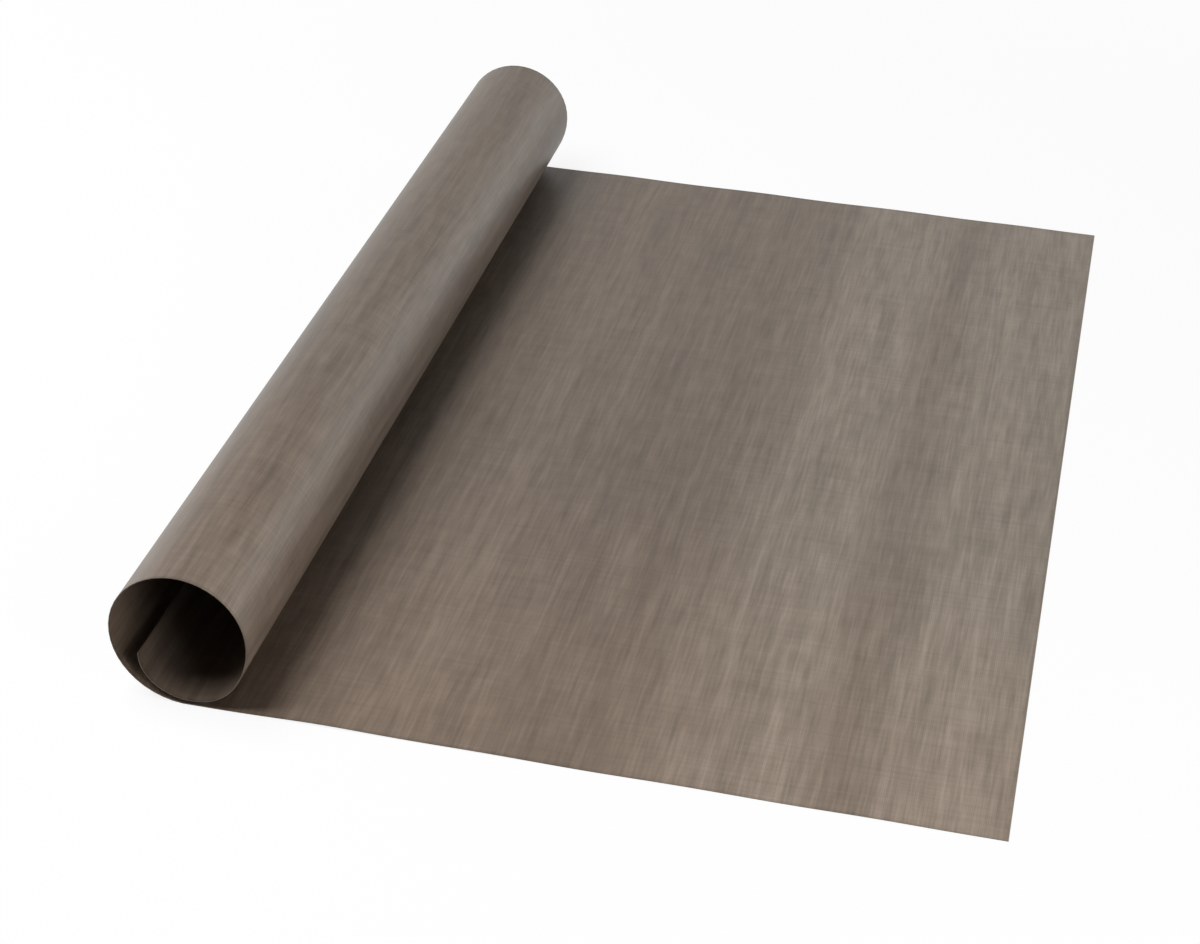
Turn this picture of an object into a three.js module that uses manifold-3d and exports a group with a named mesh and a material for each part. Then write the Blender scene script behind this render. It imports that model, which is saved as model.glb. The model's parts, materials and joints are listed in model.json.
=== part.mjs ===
// Baking mat: one square of woven glass cloth with a non-stick coat on both faces and sealed edges.
// The right part lies flat on the bench and the left end is wound into a loose tube.
// The wound part is cut into narrow strips along the roll, hinged to each other, so that it can unroll.
// Millimetres, +Z up, +X from the roll towards the flat edge, +Y along the roll away from its near end.
import * as THREE from "three";
import { mergeVertices } from "three/addons/utils/BufferGeometryUtils.js";
import Module from "manifold-3d";

const wasm = await Module();
wasm.setup();

// The sheet
const SHEET_WIDTH = 400; // along the roll
const SHEET_LENGTH = 400; // from the flat edge to the wound edge, measured on the sheet
const CLOTH_THICKNESS = 0.16;
const COAT_THICKNESS = 0.04; // on each face
const BOND_GAP = 0.005; // between the cloth and the coat round it
const EDGE_SEAL = 1; // coat that reaches past the cloth along the outer edges

// The roll, measured on the middle plane of the sheet
const ROLL_RADIUS = 21.2; // at the top of the roll
const ROLL_TURN = THREE.MathUtils.degToRad(440); // from the bench to the wound edge
const ROLL_STRIPS = 29;
const LAYER_GAP = 0.5; // air that each turn gains between its layers
const LIFT_OFF_SLACK = 2.7; // extra radius where the sheet leaves the bench
const LIFT_OFF_TURN = THREE.MathUtils.degToRad(100); // over which that slack is taken up
const SAG = 0.27; // share by which the radius first swells and then shrinks where the roll sags onto the flat part
const SAG_FROM = THREE.MathUtils.degToRad(255); // turn at which the sag begins
const SAG_TURN = THREE.MathUtils.degToRad(86); // over which it swells and shrinks
const END_TIGHTENING = 0.32; // share of its radius that the wound edge loses
const END_TURN = THREE.MathUtils.degToRad(165); // over which the wound edge tightens
const BEND_CLEARANCE = 0.1; // between two strips on the inner side of their bend
const CUT_OVERRUN = 1; // how far the pocket for the cloth is cut past an open end

// Sizes that follow
const SHEET_THICKNESS = CLOTH_THICKNESS + 2 * (BOND_GAP + COAT_THICKNESS);
const BEND = ROLL_TURN / ROLL_STRIPS;
const BEND_GAP = BEND_CLEARANCE + SHEET_THICKNESS * Math.tan(BEND / 2);
const POCKET_HEIGHT = CLOTH_THICKNESS + 2 * BOND_GAP;
const POCKET_WIDTH = SHEET_WIDTH - 2 * EDGE_SEAL;

const coatMaterial = new THREE.MeshStandardMaterial({ color: 0x7b6a5d, roughness: 0.5, metalness: 0 });
const clothMaterial = new THREE.MeshStandardMaterial({ color: 0xb9a78e, roughness: 0.8, metalness: 0 });

// Radius of the middle plane after the sheet has turned by an angle from the bench.
// It is smaller on each turn than on the turn before, so that no layer meets another.
function radiusAfter(turn) {
  const winding = ((LAYER_GAP + SHEET_THICKNESS) * (Math.PI - turn)) / (2 * Math.PI);
  const slack = LIFT_OFF_SLACK * Math.max(0, 1 - turn / LIFT_OFF_TURN);
  const sagPart = THREE.MathUtils.clamp((turn - SAG_FROM) / SAG_TURN, 0, 1);
  const sag = SAG * Math.sin(2 * Math.PI * sagPart);
  const tightening = END_TIGHTENING * THREE.MathUtils.smoothstep(turn, ROLL_TURN - END_TURN, ROLL_TURN);
  return (ROLL_RADIUS + winding + slack) * (1 + sag) * (1 - tightening);
}

// A box between two X values, centred on the middle plane of its strip.
function boxBetween(xLow, xHigh, width, height) {
  const box = new THREE.BoxGeometry(xHigh - xLow, width, height);
  return box.translate((xLow + xHigh) / 2, 0, 0);
}

function solidFrom(geometry) {
  const bare = geometry.clone();
  bare.deleteAttribute("normal");
  bare.deleteAttribute("uv");
  const merged = mergeVertices(bare);
  const vertProperties = merged.getAttribute("position").array;
  const triVerts = new Uint32Array(merged.index.array);
  return new wasm.Manifold(new wasm.Mesh({ numProp: 3, vertProperties, triVerts }));
}

function geometryFrom(solid) {
  const { vertProperties, triVerts } = solid.getMesh();
  const geometry = new THREE.BufferGeometry();
  geometry.setAttribute("position", new THREE.BufferAttribute(vertProperties, 3));
  geometry.setIndex(new THREE.BufferAttribute(triVerts, 1));
  geometry.computeVertexNormals();
  return geometry;
}

function namedMesh(name, geometry, material) {
  const mesh = new THREE.Mesh(geometry, material);
  mesh.name = name;
  return mesh;
}

// One stretch of the sheet from xLow to xHigh: the cloth, and the coat as a sleeve round it.
// The sleeve is open at a bend and closed by the seal at a free edge.
function addStretch(group, name, xLow, xHigh, sealedLow, sealedHigh) {
  const pocketLow = sealedLow ? xLow + EDGE_SEAL : xLow - CUT_OVERRUN;
  const pocketHigh = sealedHigh ? xHigh - EDGE_SEAL : xHigh + CUT_OVERRUN;
  const pocket = boxBetween(pocketLow, pocketHigh, POCKET_WIDTH, POCKET_HEIGHT);
  const slab = boxBetween(xLow, xHigh, SHEET_WIDTH, SHEET_THICKNESS);
  const sleeve = geometryFrom(solidFrom(slab).subtract(solidFrom(pocket)));
  group.add(namedMesh("coat_" + name, sleeve, coatMaterial.clone()));

  const clothLow = sealedLow ? pocketLow + BOND_GAP : xLow;
  const clothHigh = sealedHigh ? pocketHigh - BOND_GAP : xHigh;
  const cloth = boxBetween(clothLow, clothHigh, POCKET_WIDTH - 2 * BOND_GAP, CLOTH_THICKNESS);
  group.add(namedMesh("cloth_" + name, cloth, clothMaterial.clone()));
}

// Every bend turns by the same angle, so a strip's width is its radius times that angle.
const stripWidths = [];
for (let i = 0; i < ROLL_STRIPS; i++) stripWidths.push(radiusAfter((i + 0.5) * BEND) * BEND);
const flatLength = stripWidths.reduce((left, width) => left - width, SHEET_LENGTH);

// The flat part runs from its free edge at x = 0 to the first bend.
const mat = new THREE.Group();
addStretch(mat, "flat", BEND_GAP / 2 - flatLength, 0, false, true);

// Each strip hangs on the bend before it, and the last one ends in the wound edge.
let parent = mat;
let bendX = -flatLength;
stripWidths.forEach((width, i) => {
  const number = String(i + 1).padStart(2, "0");
  const wound = i === ROLL_STRIPS - 1;
  const bend = new THREE.Group();
  bend.name = "bend_" + number;
  bend.position.x = bendX;
  bend.rotation.y = BEND;
  addStretch(bend, "strip_" + number, wound ? -width : BEND_GAP / 2 - width, -BEND_GAP / 2, wound, false);
  parent.add(bend);
  parent = bend;
  bendX = -width;
});

// The origin is the middle of the underside of the whole mat as it lies.
const reach = new THREE.Box3().setFromObject(mat, true);
mat.position.set(-(reach.min.x + reach.max.x) / 2, 0, -reach.min.z);

const bakingMat = new THREE.Group();
bakingMat.name = "baking_mat";
bakingMat.add(mat);

export default bakingMat;
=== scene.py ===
import json
import math

import bpy
from mathutils import Matrix, Vector


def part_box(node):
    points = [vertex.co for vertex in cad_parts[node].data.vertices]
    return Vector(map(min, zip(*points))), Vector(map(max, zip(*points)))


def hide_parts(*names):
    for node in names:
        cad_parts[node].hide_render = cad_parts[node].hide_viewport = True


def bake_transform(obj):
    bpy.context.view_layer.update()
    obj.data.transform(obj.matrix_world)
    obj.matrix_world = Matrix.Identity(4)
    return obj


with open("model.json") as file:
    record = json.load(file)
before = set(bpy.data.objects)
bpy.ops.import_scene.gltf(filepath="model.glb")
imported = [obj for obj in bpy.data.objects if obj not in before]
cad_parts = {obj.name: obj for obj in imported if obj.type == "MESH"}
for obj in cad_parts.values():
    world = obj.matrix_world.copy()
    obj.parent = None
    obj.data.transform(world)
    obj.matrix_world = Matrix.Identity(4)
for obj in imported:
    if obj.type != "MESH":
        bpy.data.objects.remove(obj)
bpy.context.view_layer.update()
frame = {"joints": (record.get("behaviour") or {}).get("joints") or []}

# A baking mat of woven glass cloth with a satin non-stick coat, one end wound into a loose tube.
# Metres throughout. The sheet is drawn along its middle plane, from the free right edge to the wound edge.

# How finely the sheet is divided
FLAT_STEP = 0.003
WIDTH_STEPS_FLAT = 80
WIDTH_STEPS_ROLL = 16

# Where a bend's two corners lie, as a share of the way from its hinge to the seams beside it
CORNER_SHARE = 0.5

# Slow waves that the winding leaves in the flat part, all above the bench
WAVE_HEIGHT = 0.00025
WAVE_LENGTH = 0.058
WAVE_EASE = 0.05
WAVE_SKEW = 3
FRONT_LIFT = 0.0005
FRONT_LIFT_AT = 0.2
FRONT_LIFT_REACH = 0.035
FRONT_LIFT_DEPTH = 0.06

# The coat, with distances along the sheet from its free edge and across it from its middle
SHEET_MAP = "sheet"
YARN_PITCH = 0.00062
COAT_DARK = (0.091, 0.07, 0.052)
COAT_MIDDLE = (0.131, 0.101, 0.078)
COAT_LIGHT = (0.175, 0.139, 0.11)
# Painted sheen and light: the coat is drawn paler and greyer towards the free edge, less so in a darker
# band there
PAINTED_SHEEN_FROM = 0.124
PAINTED_SHEEN_TO = 0.068
PAINTED_SHEEN_GAIN = (0.58, 0.69, 0.75)
DARKER_BAND_AT = 0.051
DARKER_BAND_CORE = 0.001
DARKER_BAND_REACH = 0.02
DARKER_BAND_LOSS = 0.6
BAND_WAVER = 0.014
# A painted highlight: a paler stripe along the roll's right flank
PAINTED_FLANK_HIGHLIGHT_AT = 0.3295
PAINTED_FLANK_HIGHLIGHT_CORE = 0.002
PAINTED_FLANK_HIGHLIGHT_REACH = 0.013
PAINTED_FLANK_HIGHLIGHT_SHARE = 0.55
# The wound part of the sheet is drawn darker
ROLL_COAT_FROM = 0.25
ROLL_COAT_TO = 0.29
ROLL_COAT_LOSS = 0.13
# Painted shade inside the roll: the innermost part of the wound sheet is drawn darker and greyer
PAINTED_BORE_SHADE_FROM = 0.335
PAINTED_BORE_SHADE_TO = 0.37
PAINTED_BORE_SHADE_GAIN = (-0.2, -0.17, -0.13)
# Painted light from the front: the coat is drawn lighter and warmer towards the front edge
PAINTED_FRONT_LIGHT_FROM = -0.02
PAINTED_FRONT_LIGHT_GAIN = (0.27, 0.2, 0.15)
EDGE_SEAL = 0.0012
EDGE_SEAL_LOSS = 0.16

# Cells of the coat's noise, along and across the sheet
SWATHE_CELL = (0.017, 0.6)
STREAK_CELL = (0.0032, 0.06)
THREAD_CELL = (0.0009, 0.018)
MOTTLE_CELL = (0.006, 0.011)
PICK_CELL = (0.03, 0.0013)
WAVER_CELL = (0.03, 0.11)
SEAL_CELL = (0.004, 0.004)

# What share of the coat's tone each kind of noise has, and the tones at which its three colours lie
SWATHE_SHARE = 0.16
STREAK_SHARE = 0.34
THREAD_SHARE = 0.18
MOTTLE_SHARE = 0.14
PICK_SHARE = 0.1
WEAVE_SHARE = 0.08
DARK_TONE = 0.36
MIDDLE_TONE = 0.5
LIGHT_TONE = 0.64

# The coat's finish
COAT_IOR = 1.36
COAT_ROUGHNESS = 0.35
STREAK_ROUGHNESS = 0.16
WEAVE_RELIEF = 0.6
THREAD_RELIEF = 0.4
RELIEF_STRENGTH = 0.25
RELIEF_DEPTH = 0.0001

# The photograph's camera, in degrees, metres and pixels of a picture 1200 wide
PICTURE_WIDTH = 1200
FOCAL_PIXELS = 2568.2
SENSOR_WIDTH = 36
CAMERA_PLACE = (0.1301, -0.7737, 0.4555)
CAMERA_YAW = 11.617
CAMERA_PITCH = 31.217
CAMERA_ROLL = 2.259

# The studio, whose floor shows the mat's shadow fully up to one distance and not at all beyond another
FLOOR_RADIUS = 6
FLOOR_SIDES = 64
FLOOR_DROP = 0.00002
FLOOR_WHITE = 0.9
FLOOR_GLOW_SHARE = 0.88
FLOOR_SHADOW_FULL = 0.3
FLOOR_SHADOW_NONE = 0.8
SKY_FILL = 0.02
LAMP_AIM = (0.02, 0, 0)

# Soft boxes: name, place, width and height, power in watts, colour
LAMPS = (
    ("key", (-0.62, -0.18, 1.16), (0.8, 0.8), 18.2, (1, 1, 1)),
    ("right_strip", (3.6, -0.4, 0.13), (3.6, 0.2), 34, (1, 1, 1)),
    ("near_right", (0.4, -0.45, 0.27), (0.3, 0.2), 0.85, (1, 1, 1)),
    ("back_right", (0.95, 0.9, 0.3), (1.3, 0.6), 4, (1, 0.98, 0.95)),
    ("back_left", (-1.2, 0.4, 0.2), (0.8, 0.3), 3.2, (0.8, 0.94, 1)),
)


class Station:
    """One cross-section of the sheet: its middle point, its upper normal and how far along it lies."""

    def __init__(self, x, z, normal_x, normal_z, along):
        self.x = x
        self.z = z
        self.normal = (normal_x, normal_z)
        self.along = along


def read_profile():
    """The sheet's corners in XZ as the frame holds them: the right edge, every hinge and the wound edge."""
    low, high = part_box("coat_flat")
    middle = (low.z + high.z) / 2
    corners = [Vector((high.x, middle))]
    for joint in frame["joints"]:
        x, _, z = joint["pos_m"]
        corners.append(Vector((x, z)))
    last_low, last_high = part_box("coat_" + frame["joints"][-1]["child"])
    corners.append(Vector(((last_low.x + last_high.x) / 2, last_high.z)))
    return corners, low.y, high.y, high.z - low.z


def bend_corners(before, hinge, after):
    """The two corners of a bend, which lie on the strips on either side of its hinge."""
    return hinge.lerp(before, CORNER_SHARE), hinge.lerp(after, CORNER_SHARE)


def bend_path(before, hinge, after):
    """Points and headings from one seam to the next, with the hinge's turn shared between two corners."""
    first, second = bend_corners(before, hinge, after)
    arriving = (first - before).normalized()
    crossing = (second - first).normalized()
    leaving = (after - second).normalized()
    yield before, arriving
    yield first, (arriving + crossing).normalized()
    yield second, (crossing + leaving).normalized()
    yield after, leaving


def straight_line(start, end, step):
    """Points and headings along a straight stretch."""
    count = max(1, math.ceil((end - start).length / step))
    heading = (end - start).normalized()
    for i in range(count + 1):
        yield start.lerp(end, i / count), heading


def stations_along(path, along):
    """Stations for a list of points and headings, with the distance counted on from along."""
    stations = []
    previous = None
    for point, heading in path:
        if previous is not None:
            along += (point - previous).length
        stations.append(Station(point.x, point.y, heading.y, -heading.x, along))
        previous = point
    return stations


def smooth(t):
    t = min(1, max(0, t))
    return t * t * (3 - 2 * t)


def flat_lift(along, y):
    """Height of the flat part's slow waves, which fade out towards the free edge and towards the roll."""
    seam = (corners[0] - corners[1]).length - (corners[1] - corners[2]).length / 2
    ease = smooth(along / WAVE_EASE) * smooth((seam - along) / WAVE_EASE)
    wave = 0.5 - 0.5 * math.cos(2 * math.pi * along / WAVE_LENGTH + WAVE_SKEW * y)
    across = math.exp(-(((along - FRONT_LIFT_AT) / FRONT_LIFT_REACH) ** 2))
    front = smooth(1 - (y - front_y) / FRONT_LIFT_DEPTH)
    return WAVE_HEIGHT * wave * ease + FRONT_LIFT * across * front * smooth((seam - along) / WAVE_EASE)


def no_lift(along, y):
    return 0


def closed_faces(rows, columns):
    """Faces that close two grids of points into one solid, and how many of them come before the rims."""

    def index(side, row, column):
        return (side * rows + row) * columns + column

    faces = []
    for row in range(rows - 1):
        for column in range(columns - 1):
            quad = [(row, column), (row, column + 1), (row + 1, column + 1), (row + 1, column)]
            faces.append([index(0, r, c) for r, c in quad])
            faces.append([index(1, r, c) for r, c in reversed(quad)])
    rims = len(faces)
    ring = [(row, 0) for row in range(rows)]
    ring += [(rows - 1, column) for column in range(1, columns)]
    ring += [(row, columns - 1) for row in reversed(range(rows - 1))]
    ring += [(0, column) for column in reversed(range(1, columns - 1))]
    for here, after in zip(ring, ring[1:] + ring[:1]):
        faces.append([index(0, *here), index(0, *after), index(1, *after), index(1, *here)])
    return faces, rims


def sheet_piece(name, stations, width_steps, lift):
    """A thin closed solid along the stations, with a map of its distances along and across the sheet."""
    columns = width_steps + 1
    widths = [front_y + (back_y - front_y) * k / width_steps for k in range(columns)]
    vertices = []
    for half in (thickness / 2, -thickness / 2):
        for station in stations:
            x = station.x + half * station.normal[0]
            z = station.z + half * station.normal[1]
            vertices += [(x, y, z + lift(station.along, y)) for y in widths]
    faces, rims = closed_faces(len(stations), columns)
    mesh = bpy.data.meshes.new(name)
    mesh.from_pydata(vertices, [], faces)
    mesh.update()

    layer = mesh.uv_layers.new(name=SHEET_MAP)
    for polygon in mesh.polygons:
        polygon.use_smooth = True
        for loop in polygon.loop_indices:
            row, column = divmod(mesh.loops[loop].vertex_index, columns)
            layer.data[loop].uv = (stations[row % len(stations)].along, widths[column])

    # The rims have sharp edges, so that the faces stay smooth up to the seams between the pieces
    rim_edges = {key for polygon in mesh.polygons[rims:] for key in polygon.edge_keys}
    for edge in mesh.edges:
        edge.use_edge_sharp = edge.key in rim_edges
    piece = bpy.data.objects.new(name, mesh)
    bpy.context.scene.collection.objects.link(piece)
    return piece


def sheet_runs():
    """The seams between the pieces in XZ, and each piece's stations, from the free to the wound edge."""
    halves = [corners[i].lerp(corners[i + 1], 0.5) for i in range(1, len(corners) - 1)]
    first_half = (corners[2] - corners[1]).length / 2
    seams = [corners[1] + (corners[0] - corners[1]).normalized() * first_half] + halves
    runs = []
    along = 0
    for i in range(len(halves)):
        path = list(bend_path(seams[i], corners[i + 1], seams[i + 1]))
        if i == 0:
            path = list(straight_line(corners[0], seams[0], FLAT_STEP))[:-1] + path
        if i == len(halves) - 1:
            path += list(straight_line(seams[-1], corners[-1], FLAT_STEP))[1:]
        runs.append(stations_along(path, along))
        along = runs[-1][-1].along
    return seams, runs


def make_sheet():
    """The mat as one run of pieces, each bending across one hinge of the frame."""
    seams, runs = sheet_runs()
    material = coat_material(runs[-1][-1].along)
    for i, (joint, stations) in enumerate(zip(frame["joints"], runs)):
        nodes = [kind + joint["child"] for kind in ("coat_", "cloth_")]
        if i == 0:
            piece = sheet_piece("mat_flat", stations, WIDTH_STEPS_FLAT, flat_lift)
            nodes += ["coat_flat", "cloth_flat"]
        else:
            piece = sheet_piece(f"mat_bend_{i + 1:02d}", stations, WIDTH_STEPS_ROLL, no_lift)
        piece.data.materials.append(material)
        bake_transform(piece)
        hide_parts(*nodes)


class Nodes:
    """A short way to write a node tree."""

    def __init__(self, tree):
        self.tree = tree
        tree.nodes.clear()

    def add(self, kind, **settings):
        node = self.tree.nodes.new(kind)
        for key, value in settings.items():
            setattr(node, key, value)
        return node

    def link(self, source, target):
        self.tree.links.new(source, target)

    def math(self, operation, first, second=None):
        node = self.add("ShaderNodeMath", operation=operation)
        for socket, value in zip(node.inputs, (first, second)):
            if isinstance(value, (int, float)):
                socket.default_value = value
            elif value is not None:
                self.link(value, socket)
        return node.outputs[0]

    def vector(self, operation, *values, scale=None):
        node = self.add("ShaderNodeVectorMath", operation=operation)
        for socket, value in zip(node.inputs, values):
            if isinstance(value, tuple):
                socket.default_value = value
            else:
                self.link(value, socket)
        if scale is not None:
            self.link(scale, node.inputs["Scale"])
        return node.outputs["Vector"]

    def noise(self, vector, cell, detail, roughness=0.5):
        """Noise whose cells measure cell = (along, across) in metres."""
        mapping = self.add("ShaderNodeMapping")
        mapping.inputs["Scale"].default_value = (1 / cell[0], 1 / cell[1], 1)
        self.link(vector, mapping.inputs["Vector"])
        node = self.add("ShaderNodeTexNoise", noise_dimensions="2D")
        node.inputs["Scale"].default_value = 1
        node.inputs["Detail"].default_value = detail
        node.inputs["Roughness"].default_value = roughness
        self.link(mapping.outputs["Vector"], node.inputs["Vector"])
        return node.outputs["Fac"]

    def ramp(self, value, stops):
        node = self.add("ShaderNodeValToRGB")
        elements = node.color_ramp.elements
        while len(elements) < len(stops):
            elements.new(0.5)
        for element, (position, colour) in zip(elements, stops):
            element.position = position
            element.color = (*colour, 1)
        self.link(value, node.inputs["Fac"])
        return node.outputs["Color"]

    def fade(self, value, none, full):
        """0 where value is at none, 1 where it is at full, and smooth between."""
        node = self.add("ShaderNodeMapRange", interpolation_type="SMOOTHSTEP")
        node.inputs["From Min"].default_value = none
        node.inputs["From Max"].default_value = full
        self.link(value, node.inputs["Value"])
        return node.outputs["Result"]

    def stripe(self, value, middle, core, reach):
        """1 within core of the middle, 0 beyond reach of it, and smooth between."""
        return self.fade(self.math("ABSOLUTE", self.math("SUBTRACT", value, middle)), reach, core)


def weave_height(n, along, across):
    """A plain weave: yarn crowns of both directions that pass over and under each other in turn."""
    u = n.math("DIVIDE", along, YARN_PITCH)
    v = n.math("DIVIDE", across, YARN_PITCH)
    crowns = []
    for here, other, sign in ((u, v, 0.5), (v, u, -0.5)):
        round_yarn = n.math("ABSOLUTE", n.math("SINE", n.math("MULTIPLY", here, math.pi)))
        turn = n.math("SUBTRACT", n.math("ADD", other, n.math("FLOOR", here)), 0.5)
        swing = n.math("MULTIPLY", n.math("COSINE", n.math("MULTIPLY", turn, math.pi)), sign)
        crowns.append(n.math("MULTIPLY", round_yarn, n.math("ADD", swing, 0.5)))
    return n.math("MAXIMUM", *crowns)


def painted_sheen_and_highlight(n, place, along):
    """How much painted sheen the coat gets: 1 near the free edge, about half in a darker band there, and
    about half in a stripe that is a painted highlight on the roll's flank.
    """
    waver = n.math("SUBTRACT", n.noise(place, WAVER_CELL, detail=3), 0.5)
    bent = n.math("ADD", along, n.math("MULTIPLY", waver, BAND_WAVER))
    # Painted sheen, growing towards the free edge
    painted_sheen = n.fade(bent, PAINTED_SHEEN_FROM, PAINTED_SHEEN_TO)
    darker_band = n.stripe(bent, DARKER_BAND_AT, DARKER_BAND_CORE, DARKER_BAND_REACH)
    end = n.math("MULTIPLY", painted_sheen, n.math("SUBTRACT", 1, n.math("MULTIPLY", darker_band, DARKER_BAND_LOSS)))
    # A painted highlight along the roll's right flank
    stripe = n.stripe(bent, PAINTED_FLANK_HIGHLIGHT_AT, PAINTED_FLANK_HIGHLIGHT_CORE, PAINTED_FLANK_HIGHLIGHT_REACH)
    return n.math("ADD", end, n.math("MULTIPLY", stripe, PAINTED_FLANK_HIGHLIGHT_SHARE))


def sealed_edge(n, place, along, across, length):
    """1 on the sealed edges of the sheet, fading out unevenly a millimetre in."""
    ends = n.math("MINIMUM", along, n.math("SUBTRACT", length, along))
    sides = n.math("SUBTRACT", (back_y - front_y) / 2, n.math("ABSOLUTE", across))
    nearest = n.math("MINIMUM", ends, sides)
    uneven = n.math("MULTIPLY", n.noise(place, SEAL_CELL, detail=2), EDGE_SEAL)
    return n.fade(n.math("SUBTRACT", nearest, uneven), EDGE_SEAL / 2, 0)


def coat_material(length):
    """Satin taupe coat over a plain weave, with fine streaks along the roll, a painted sheen paler towards
    the free edge, a painted highlight on the roll's flank, painted light towards the front edge and painted
    shade inside the roll.
    """
    material = bpy.data.materials.new("non_stick_coat")
    material.use_nodes = True
    n = Nodes(material.node_tree)
    place = n.add("ShaderNodeUVMap", uv_map=SHEET_MAP).outputs["UV"]
    parts = n.add("ShaderNodeSeparateXYZ")
    n.link(place, parts.inputs["Vector"])
    along, across = parts.outputs["X"], parts.outputs["Y"]

    weave = weave_height(n, along, across)
    swathes = n.noise(place, SWATHE_CELL, detail=1)
    streaks = n.noise(place, STREAK_CELL, detail=3, roughness=0.6)
    threads = n.noise(place, THREAD_CELL, detail=1)
    mottle = n.noise(place, MOTTLE_CELL, detail=3)
    picks = n.noise(place, PICK_CELL, detail=2)

    tone = n.math("MULTIPLY", swathes, SWATHE_SHARE)
    for layer, share in (
        (streaks, STREAK_SHARE),
        (threads, THREAD_SHARE),
        (mottle, MOTTLE_SHARE),
        (picks, PICK_SHARE),
        (weave, WEAVE_SHARE),
    ):
        tone = n.math("ADD", tone, n.math("MULTIPLY", layer, share))
    body = n.ramp(tone, [(DARK_TONE, COAT_DARK), (MIDDLE_TONE, COAT_MIDDLE), (LIGHT_TONE, COAT_LIGHT)])

    # Painted sheen and the painted flank highlight, as a gain on the coat's colour
    painted_sheen = n.vector("SCALE", PAINTED_SHEEN_GAIN, scale=painted_sheen_and_highlight(n, place, along))
    # Painted light towards the front edge
    front = n.vector("SCALE", PAINTED_FRONT_LIGHT_GAIN, scale=n.fade(across, PAINTED_FRONT_LIGHT_FROM, front_y))
    # Painted shade inside the roll
    bore_shade = n.vector("SCALE", PAINTED_BORE_SHADE_GAIN, scale=n.fade(along, PAINTED_BORE_SHADE_FROM, PAINTED_BORE_SHADE_TO))
    gain = n.vector("ADD", n.vector("ADD", painted_sheen, front), bore_shade)
    gained = n.vector("MULTIPLY_ADD", body, gain, body)
    sealed = n.math("MULTIPLY", sealed_edge(n, place, along, across, length), EDGE_SEAL_LOSS)
    rolled = n.math("MULTIPLY", n.fade(along, ROLL_COAT_FROM, ROLL_COAT_TO), ROLL_COAT_LOSS)
    shade = n.math("MULTIPLY", n.math("SUBTRACT", 1, sealed), n.math("SUBTRACT", 1, rolled))
    colour = n.vector("SCALE", gained, scale=shade)

    rough = n.math("ADD", n.math("MULTIPLY", streaks, STREAK_ROUGHNESS), COAT_ROUGHNESS)

    raised_weave = n.math("MULTIPLY", weave, WEAVE_RELIEF)
    height = n.math("ADD", raised_weave, n.math("MULTIPLY", threads, THREAD_RELIEF))
    bump = n.add("ShaderNodeBump")
    bump.inputs["Strength"].default_value = RELIEF_STRENGTH
    bump.inputs["Distance"].default_value = RELIEF_DEPTH
    n.link(height, bump.inputs["Height"])

    shader = n.add("ShaderNodeBsdfPrincipled")
    shader.inputs["IOR"].default_value = COAT_IOR
    n.link(colour, shader.inputs["Base Color"])
    n.link(rough, shader.inputs["Roughness"])
    n.link(bump.outputs["Normal"], shader.inputs["Normal"])
    output = n.add("ShaderNodeOutputMaterial")
    n.link(shader.outputs["BSDF"], output.inputs["Surface"])
    return material


def seen_directly(n):
    """1 for rays that show the background itself, to the eye, in gloss or through glass."""
    path = n.add("ShaderNodeLightPath")
    shown = n.math("MAXIMUM", path.outputs["Is Camera Ray"], path.outputs["Is Glossy Ray"])
    return n.math("MAXIMUM", shown, path.outputs["Is Transmission Ray"])


def make_floor():
    """A pale round floor that glows white where it is seen and keeps a soft shadow round the mat."""
    mesh = bpy.data.meshes.new("floor")
    rim = []
    for i in range(FLOOR_SIDES):
        angle = 2 * math.pi * i / FLOOR_SIDES
        rim.append((FLOOR_RADIUS * math.cos(angle), FLOOR_RADIUS * math.sin(angle), 0))
    mesh.from_pydata(rim, [], [list(range(FLOOR_SIDES))])
    floor = bpy.data.objects.new("floor", mesh)
    bpy.context.scene.collection.objects.link(floor)
    material = bpy.data.materials.new("white_floor")
    material.use_nodes = True
    n = Nodes(material.node_tree)
    paint = n.add("ShaderNodeBsdfDiffuse")
    paint.inputs["Color"].default_value = (FLOOR_WHITE, FLOOR_WHITE, FLOOR_WHITE, 1)
    glow = n.add("ShaderNodeEmission")
    distance = n.add("ShaderNodeVectorMath", operation="LENGTH")
    n.link(n.add("ShaderNodeNewGeometry").outputs["Position"], distance.inputs[0])
    near = n.fade(distance.outputs["Value"], FLOOR_SHADOW_NONE, FLOOR_SHADOW_FULL)
    share = n.math("SUBTRACT", 1, n.math("MULTIPLY", near, 1 - FLOOR_GLOW_SHARE))
    mixed = n.add("ShaderNodeMixShader")
    n.link(n.math("MULTIPLY", seen_directly(n), share), mixed.inputs["Fac"])
    n.link(paint.outputs["BSDF"], mixed.inputs[1])
    n.link(glow.outputs["Emission"], mixed.inputs[2])
    output = n.add("ShaderNodeOutputMaterial")
    n.link(mixed.outputs["Shader"], output.inputs["Surface"])
    mesh.materials.append(material)
    floor.location.z = -FLOOR_DROP


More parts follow.
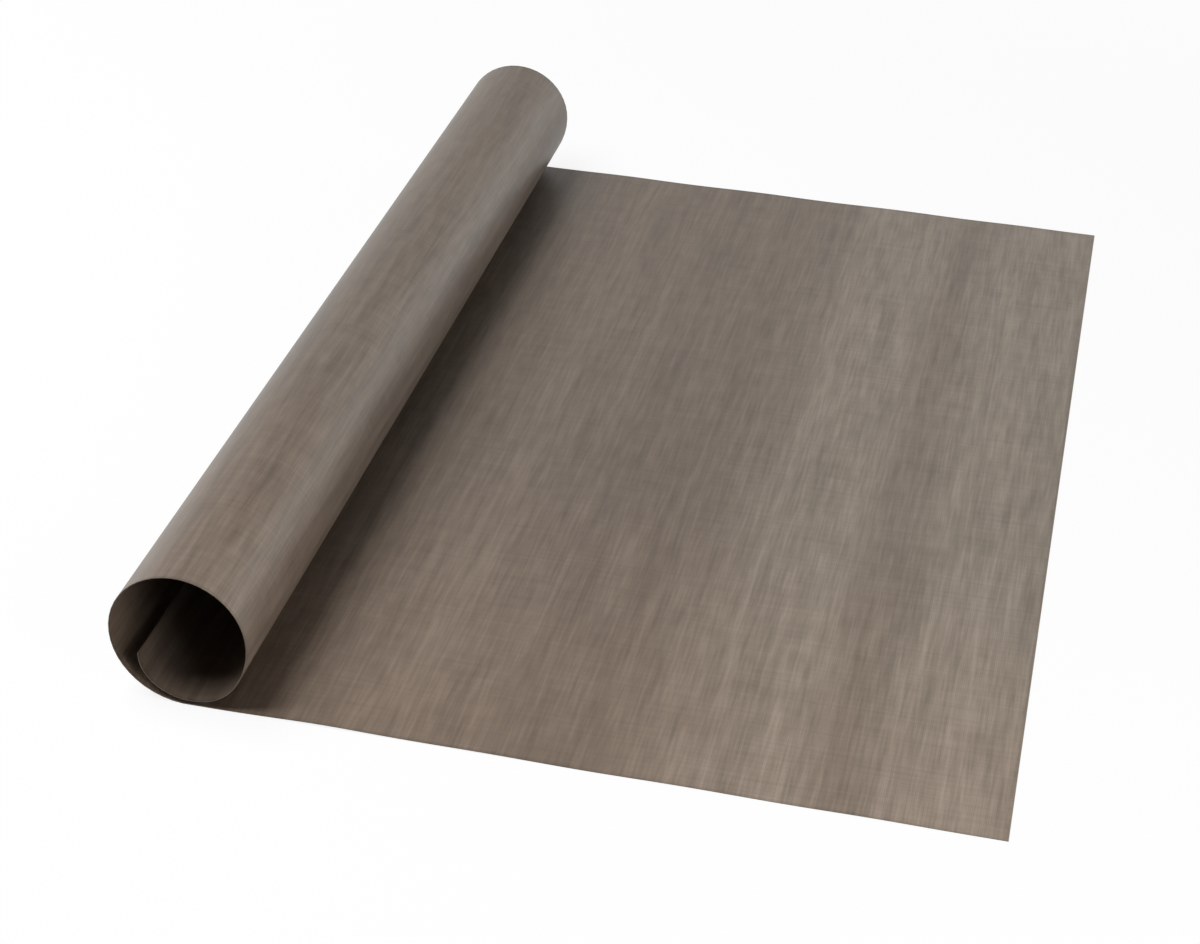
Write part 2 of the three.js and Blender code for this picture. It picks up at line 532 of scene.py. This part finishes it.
def make_sky():
    """White where it is seen, and otherwise a faint even fill."""
    world = bpy.data.worlds.new("studio")
    world.use_nodes = True
    n = Nodes(world.node_tree)
    fill = n.add("ShaderNodeBackground")
    fill.inputs["Color"].default_value = (SKY_FILL, SKY_FILL, SKY_FILL, 1)
    white = n.add("ShaderNodeBackground")
    white.inputs["Color"].default_value = (1, 1, 1, 1)
    mixed = n.add("ShaderNodeMixShader")
    n.link(seen_directly(n), mixed.inputs["Fac"])
    n.link(fill.outputs["Background"], mixed.inputs[1])
    n.link(white.outputs["Background"], mixed.inputs[2])
    output = n.add("ShaderNodeOutputWorld")
    n.link(mixed.outputs["Shader"], output.inputs["Surface"])
    bpy.context.scene.world = world


def make_lamp(name, place, size, power, colour):
    data = bpy.data.lights.new(name, "AREA")
    data.color = colour
    data.shape = "RECTANGLE"
    data.size, data.size_y = size
    data.energy = power
    lamp = bpy.data.objects.new(name, data)
    lamp.location = place
    lamp.rotation_euler = (Vector(LAMP_AIM) - Vector(place)).to_track_quat("-Z", "Y").to_euler()
    bpy.context.scene.collection.objects.link(lamp)


def make_camera():
    """The camera of the photograph: where it stands, how it is turned, and its lens."""
    yaw = math.radians(CAMERA_YAW)
    pitch = math.radians(CAMERA_PITCH)
    roll = math.radians(CAMERA_ROLL)
    level = math.cos(pitch)
    forward = Vector((-math.sin(yaw) * level, math.cos(yaw) * level, -math.sin(pitch)))
    right = Vector((math.cos(yaw), math.sin(yaw), 0))
    up = right.cross(forward)
    tilted_right = right * math.cos(roll) + up * math.sin(roll)
    tilted_up = up * math.cos(roll) - right * math.sin(roll)
    turn = Matrix((tilted_right, tilted_up, -forward)).transposed()
    data = bpy.data.cameras.new("camera")
    data.sensor_width = SENSOR_WIDTH
    data.lens = FOCAL_PIXELS / PICTURE_WIDTH * SENSOR_WIDTH
    camera = bpy.data.objects.new("camera", data)
    camera.matrix_world = Matrix.Translation(CAMERA_PLACE) @ turn.to_4x4()
    bpy.context.scene.collection.objects.link(camera)
    bpy.context.scene.camera = camera


corners, front_y, back_y, thickness = read_profile()
make_camera()
make_sheet()
make_floor()
make_sky()
for lamp in LAMPS:
    make_lamp(*lamp)
bpy.context.scene.view_settings.view_transform = "Standard"
